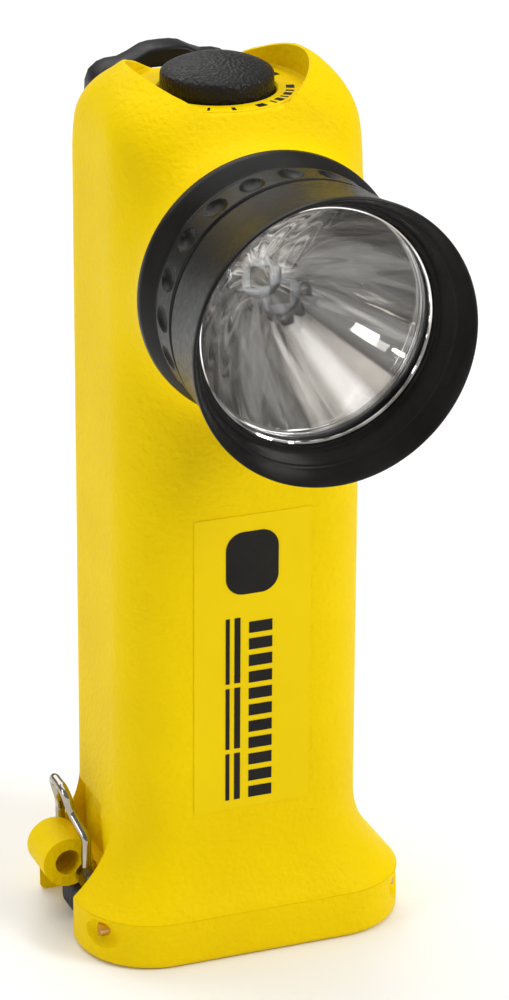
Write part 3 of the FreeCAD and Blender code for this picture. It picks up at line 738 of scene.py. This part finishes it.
def bay_cutters():
    """Boxes that open the latch bay, and a prism for the pocket beside the latch."""
    beyond = 60.0
    bay = scratch("bay_cutter", *box_points((-beyond, BAY_Y[0], 0.0), (BAY_X, BAY_Y[1], BAY_TOP_Z)))
    rear = scratch("rear_cutter", *box_points((-beyond, BAY_Y[0] + 1.0, REAR_WING_TOP_Z),
                                              (BAY_X, 40.0, BAY_TOP_Z - 0.1)))
    corners = [(POCKET_FRONT_Y[1], POCKET_Z[1]), (BAY_Y[1], POCKET_Z[1]), (BAY_Y[1], POCKET_Z[0]),
               (POCKET_FRONT_Y[0], POCKET_Z[0])]
    outline = [(POCKET_X, y, z) for y, z in corners]
    pocket = scratch("pocket_cutter", *prism_points(outline, (-20.0, 0.0, 0.0)))
    return [bay, rear, pocket]


def bore_cutter():
    """A cylinder through the seat of the lamp head, so that the reflector sits clear of the skin."""
    rim = [(NECK_BORE_R * math.cos(a), -SEAT - 1.0, HEAD_Z + NECK_BORE_R * math.sin(a))
           for a in around(96)]
    return scratch("bore_cutter", *prism_points(rim, (0.0, 16.0, 0.0)))


def make_housing():
    turns = around(SEGMENTS)
    rings = side_rings(turns) + top_rings(turns) + well_rings(turns) + cavity_rings(turns)
    points, faces = join_rings([r.tolist() for r in rings], closed_tube=True)
    work = scratch("housing_work", points, faces)
    mesh = carve(work, bay_cutters() + [bore_cutter()])
    dress_mesh("housing_shell", mesh, "housing", "yellow_shell", replaces=("body_shell",),
               smooth_angle=32.0)


def make_neck():
    """The neck under the face cap, with the groove for its seal."""
    back, front = SEAL_GROOVE
    profile = [(NECK_BACK, NECK_R), (back, NECK_R), (back, SEAL_GROOVE_R), (front, SEAL_GROOVE_R),
               (front, NECK_R), (NECK_FRONT - 0.3, NECK_R), (NECK_FRONT, NECK_R - 0.35),
               (NECK_FRONT, NECK_BORE_R), (NECK_BACK, NECK_BORE_R)]
    points, faces = join_rings(head_rings(profile, 96), closed_tube=True)
    make_piece("head_neck", points, faces, "housing", "yellow_shell")


# ------------------------------------------------------------------ lamp head
def cap_outline():
    """The face cap as (distance, radius) pairs: outside from back to lip, then inside and back again."""
    flange = shifted(CAP_BACK, [
        (0.0, CAP_BORE_R), (0.0, 25.75), (0.08, 25.93), (0.3, CAP_BACK_R), (1.6, 25.95), (1.9, 25.8),
        (4.4, 24.65), (5.0, 24.2), (5.3, 24.1), (6.5, 24.1), (6.8, 24.25), (7.0, 24.6),
        (GRIP_START, GRIP_R)])
    grip = [(CAP_BACK + GRIP_START + GRIP_LENGTH * k / GRIP_STEPS, GRIP_R + GRIP_TAPER * k / GRIP_STEPS)
            for k in range(1, GRIP_STEPS + 1)]
    groove = shifted(CAP_BACK, [
        (14.8, 24.85), (15.0, 24.6), (15.9, 24.6), (16.1, 24.85), (16.5, 25.2), (19.0, 25.42)])
    bell = shifted(LIP, [(-11.0, 25.7), (-6.0, 26.45), (-1.4, 27.3), (-0.4, 27.48)])
    lip = shifted(LIP, [(-0.1, 27.42), (0.0, 27.25), (-0.05, 27.0), (-0.25, 26.85)])
    hood = shifted(LIP, [
        (-3.0, 25.85), (-4.4, 25.3), (-4.55, 25.1), (-4.6, 24.75), (-4.8, 24.65), (-8.6, 23.95)])
    ledge = shifted(LENS_FRONT, [
        (1.35, 23.85), (1.2, 23.7), (1.15, 23.1), (1.0, CAP_OPENING_R), (0.05, CAP_OPENING_R),
        (0.05, CAP_LENS_BORE_R)])
    bore = [(CAP_LENS_BORE_BACK, CAP_LENS_BORE_R), (CAP_BORE_FRONT, CAP_BORE_R)]
    return flange + grip + groove + bell + lip + hood + ledge + bore


def dimple_depth(distance, radius, turns):
    """How far the grip's surface is pressed in at each angle of one ring."""
    phase = (turns * DIMPLES / (2 * np.pi) + 0.5) % 1.0 - 0.5
    tangential = phase * 2 * np.pi * radius / DIMPLES / DIMPLE_HALF_WIDTH
    axial = (distance - (CAP_BACK + DIMPLE_MIDDLE)) / DIMPLE_HALF_LENGTH
    inside = np.clip(1.0 - tangential ** 2 - axial ** 2, 0.0, 1.0)
    return DIMPLE_DEPTH * inside ** DIMPLE_POWER


def make_face_cap():
    turns = around(DIMPLES * GRIP_STEPS)
    rings = []
    for distance, radius in cap_outline():
        radii = np.full(len(turns), radius)
        if 0 < distance - CAP_BACK - GRIP_START < GRIP_LENGTH:
            radii = radii - dimple_depth(distance, radius, turns)
        rings.append(np.column_stack([radii * np.cos(turns), np.full(len(turns), -distance),
                                      HEAD_Z + radii * np.sin(turns)]).tolist())
    points, faces = join_rings(rings, closed_tube=True)
    make_piece("face_cap_detail", points, faces, "cap", "black_polymer", replaces=("face_cap",),
               smooth_angle=28.0)


def make_reflector():
    """A thin parabolic bowl with a small flat rim."""
    radii = np.linspace(REFLECTOR_HOLE_R, REFLECTOR_RIM_R, 48)
    bowl = [(REFLECTOR_VERTEX + r * r / (4 * REFLECTOR_FOCUS), r) for r in radii]
    outside = [(distance - REFLECTOR_WALL, r + 0.25) for distance, r in reversed(bowl)]
    rim = [(REFLECTOR_FRONT, REFLECTOR_RIM_R + 0.2), (REFLECTOR_FRONT, REFLECTOR_RIM_R + 0.4),
           (REFLECTOR_FRONT - REFLECTOR_WALL, REFLECTOR_RIM_R + 0.45)]
    points, faces = join_rings(head_rings(bowl + rim + outside, 192), closed_tube=True)
    make_piece("reflector_bowl", points, faces, "housing", "bright_reflector", replaces=("reflector",),
               smooth_angle=40.0)


def make_lens():
    front, back, edge = LENS_FRONT, LENS_FRONT - LENS_THICK, LENS_R
    profile = [(back, 0), (back, LENS_MIDDLE_R), (back, edge - 0.3), (back + 0.3, edge),
               (front - 0.25, edge), (front, edge - 0.25), (front, LENS_MIDDLE_R), (front, 0)]
    points, faces = join_rings(head_rings(profile, 160))
    make_piece("lens_disc", points, faces, "lens_carrier", "clear_lens", replaces=("lens",),
               smooth_angle=30.0)


def make_lens_bead():
    """Bright moulded bead round the edge of the lens."""
    profile = shifted(LENS_FRONT, [(-0.02, 22.95), (0.3, 22.9), (0.45, 22.6), (0.3, 22.3), (-0.02, 22.2)])
    points, faces = join_rings(head_rings(profile, 192), closed_tube=True)
    # The bead wears the reflector's material, painted reflection streaks included.
    make_piece("lens_bead", points, faces, "lens_carrier", "clear_lens", smooth_angle=40.0,
               material=MATERIALS["bright_reflector"])


# ------------------------------------------------------------------ button and printed ring
def make_button():
    """The button: a hollow skirt, a rounded rim and a low dome."""
    low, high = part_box("button_cap")
    bottom, top, radius = low.z / MM, high.z / MM, high.x / MM
    rim_z = bottom + BUTTON_RIM
    skirt_r = radius - BUTTON_WALL
    dome_r = radius - DOME_INSET
    dome_z = rim_z + DOME_LIFT
    profile = [(0, bottom + BUTTON_HOLLOW), (skirt_r, bottom + BUTTON_HOLLOW), (skirt_r, bottom),
               (radius - 0.1, bottom), (radius, bottom + 0.15), (radius - 0.12, rim_z - 0.9),
               (radius - 0.22, rim_z - 0.45), (radius - 0.5, rim_z - 0.1)]
    for k in range(DOME_STEPS + 1):
        r = dome_r * (1 - k / DOME_STEPS)
        profile.append((r, dome_z + (top - dome_z) * (1 - (r / dome_r) ** 2) ** DOME_POWER))
    points, faces = join_rings(upright_rings(profile, 128))
    make_piece("button_dome", points, faces, "button", "black_polymer", replaces=("button_cap",),
               smooth_angle=40.0, material=PEBBLED)


def make_button_coil():
    """The button's return spring."""
    low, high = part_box("button_spring")
    radius, wire, turns, steps, sides = 6.4, 0.4, 2.0, 96, 12
    base = low.z / MM + wire
    height = (high.z - low.z) / MM - 2 * wire
    rings = [[(radius, 0.0, base)]]
    for k in range(steps + 1):
        a = 2 * math.pi * turns * k / steps
        z = base + height * k / steps
        rings.append([((radius + out) * math.cos(a), (radius + out) * math.sin(a), z + up)
                      for out, up in circle(wire, sides)])
    last_turn = 2 * math.pi * turns
    rings.append([(radius * math.cos(last_turn), radius * math.sin(last_turn), base + height)])
    points, faces = join_rings(rings)
    coil = make_piece("button_coil", points, faces, "housing", "spring_steel", replaces=("button_spring",),
                      smooth_angle=50.0)
    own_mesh(coil)


def make_mode_marks():
    """Short dashes printed in an arc beside the button, in place of wording."""
    spans = [(-78, -70), (-62, -60), (-56, -50), (-46, -44), (-40, -34), (-30, -27), (-22, -14),
             (-99, -96), (-118, -116), (14, 22), (27, 30), (34, 42), (170, 178), (184, 187), (191, 199)]
    inner, outer = MARK_R
    points, faces = [], []
    for start, end in spans:
        angles = [math.radians(start + (end - start) * k / (MARK_POINTS - 1)) for k in range(MARK_POINTS)]
        arcs = [(inner, a) for a in angles] + [(outer, a) for a in reversed(angles)]
        outline = [(radius * math.cos(a), radius * math.sin(a), DISH_Z + MARK_LIFT) for radius, a in arcs]
        dash_points, dash_faces = prism_points(outline, (0.0, 0.0, MARK_THICK))
        faces += [tuple(len(points) + i for i in face) for face in dash_faces]
        points += dash_points
    make_piece("mode_marks", points, faces, "housing", "label_print")


# ------------------------------------------------------------------ clip
def make_clip():
    """The clip's frame and its thinner blade, with rounded edges, and the nub on the blade's tip."""
    _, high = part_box("clip_lever")
    back = high.y / MM
    blade_front = back - CLIP_BLADE_THICK
    outline = mirrored([
        (0, 171.0), (2.2, 170.95), (4.0, 170.6), (6.5, 169.3), (8.6, 168.5), (11.0, 168.35), (12.8, 167.8),
        (14.4, 166.5), (15.2, 164.4), (15.3, 162.0), (15.3, 150.0), (15.3, 142.0), (14.6, 137.5),
        (12.4, 130.0), (11.4, 124.0), (10.0, 98.0), (9.0, 94.6), (7.0, 92.6), (4.6, 92.0)])
    window = mirrored([(9.4, CLIP_BLADE_TOP_Z), (9.4, 162.4), (8.2, 164.3), (4.8, 166.6), (3.2, 167.0)])
    slab = scratch("clip_work", *prism_points([(x, CLIP_FRONT_Y, z) for x, z in outline],
                                              (0.0, back - CLIP_FRONT_Y, 0.0)))
    cutters = [
        scratch("clip_blade_cutter", *box_points((-40, 20, 60), (40, blade_front, CLIP_BLADE_TOP_Z))),
        scratch("clip_window_cutter", *prism_points([(x, 20.0, z) for x, z in window], (0.0, 30.0, 0.0))),
    ]
    mesh = round_edges(new_object("clip_work", carve(slab, cutters)), CLIP_EDGE_R)
    dress_mesh("clip_frame", mesh, "clip", "black_polymer", replaces=("clip_lever",), smooth_angle=30.0)
    nub_side = [(blade_front + 0.3, 94.0), (blade_front + 0.3, 106.0), (21.5, 99.4), (21.45, 98.6),
                (21.5, 97.6)]
    points, faces = prism_points([(-NUB_X, y, z) for y, z in nub_side], (2 * NUB_X, 0.0, 0.0))
    make_piece("clip_nub", points, faces, "clip", "black_polymer")


# ------------------------------------------------------------------ rubber bumper
def superellipse(angle):
    """A point of a squared-off unit circle."""
    return [math.copysign(abs(part) ** ROLL_POWER, part) for part in (math.cos(angle), math.sin(angle))]


def make_bumper():
    """A ribbed rubber roll in the latch bay, lying along Y, with rounded ends."""
    low, high = (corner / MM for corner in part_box("latch_bumper"))
    centre, half = (low + high) / 2, (high - low) / 2
    stations = 48
    section = [superellipse(a) for a in around(40)]
    rings = [[(centre.x, low.y, centre.z)]]
    for k in range(stations + 1):
        share = k / stations
        rib = 0.5 + 0.5 * math.cos(2 * math.pi * share * RIBS)
        round_end = math.sqrt(max(0.0, 1 - (2 * share - 1) ** END_POWER))
        scale = (RIB_VALLEY + (1 - RIB_VALLEY) * rib) * max(round_end, END_SCALE)
        y = low.y + (high.y - low.y) * share
        rings.append([(centre.x + half.x * scale * x, y, centre.z + half.z * scale * z)
                      for x, z in section])
    rings.append([(centre.x, high.y, centre.z)])
    points, faces = join_rings(rings)
    make_piece("bumper_roll", points, faces, "door", "black_rubber", replaces=("latch_bumper",),
               smooth_angle=50.0)


# ------------------------------------------------------------------ stage
def make_floor():
    bpy.ops.mesh.primitive_plane_add(size=6.0, location=(0, 0, 0))
    floor = bpy.context.object
    floor.name = "floor"
    n = Nodes("pale_floor")
    n.mottle(4.0, (0.90, 0.90, 0.90), (0.93, 0.93, 0.93))
    n.sheen(30.0, 0.6, 0.75)
    floor.data.materials.append(n.material)


def area_light(name, place, target, size, power):
    """A rectangular lamp at a place, turned toward a target; its size is (width, height)."""
    light = bpy.data.lights.new(name, "AREA")
    light.energy = power
    light.shape = "RECTANGLE"
    light.size, light.size_y = size
    lamp = new_object(name, light)
    lamp.location = place
    aim = Vector(target) - Vector(place)
    lamp.rotation_euler = aim.to_track_quat("-Z", "Y").to_euler()


def make_lights():
    world = bpy.data.worlds.new("studio")
    bpy.context.scene.world = world
    world.use_nodes = True
    backdrop = world.node_tree.nodes["Background"]
    backdrop.inputs["Color"].default_value = (1.0, 1.0, 1.0, 1.0)
    backdrop.inputs["Strength"].default_value = 0.26
    area_light("overhead", place=(0.1, 0.1, 1.9), target=(0, 0, 0.0), size=(2.0, 2.0), power=23.0)
    area_light("key", place=(0.60, -0.60, 0.65), target=(0, 0, 0.1), size=(0.3, 0.4), power=5.0)
    area_light("left_fill", place=(-0.85, -0.25, 0.35), target=(0, 0, 0.09), size=(0.25, 0.6), power=1.9)
    area_light("background", place=(-0.5, 1.9, 1.5), target=(-0.5, 1.7, 0.0), size=(2.5, 2.0), power=30.0)


def make_camera():
    """The camera stands to the left of the lamp head and above it, tilted down."""
    data = bpy.data.cameras.new("camera")
    camera = new_object("camera", data)
    data.lens = FOCAL_LENGTH
    data.sensor_width = SENSOR_WIDTH
    data.clip_start = 0.01
    data.clip_end = 20.0
    right = Vector(CAMERA_RIGHT).normalized()
    ahead = Vector(CAMERA_AHEAD).normalized()
    up = right.cross(ahead)
    turn = Matrix((right, up, -ahead)).transposed()
    camera.matrix_world = Matrix.Translation(CAMERA_PLACE) @ turn.to_4x4()
    bpy.context.scene.camera = camera


dress_cad_nodes()
make_housing()
make_neck()
make_face_cap()
make_reflector()
make_lens()
make_lens_bead()
make_button()
make_button_coil()
make_mode_marks()
make_clip()
make_bumper()
make_floor()
make_lights()
make_camera()

bpy.context.scene.view_settings.view_transform = "Standard"
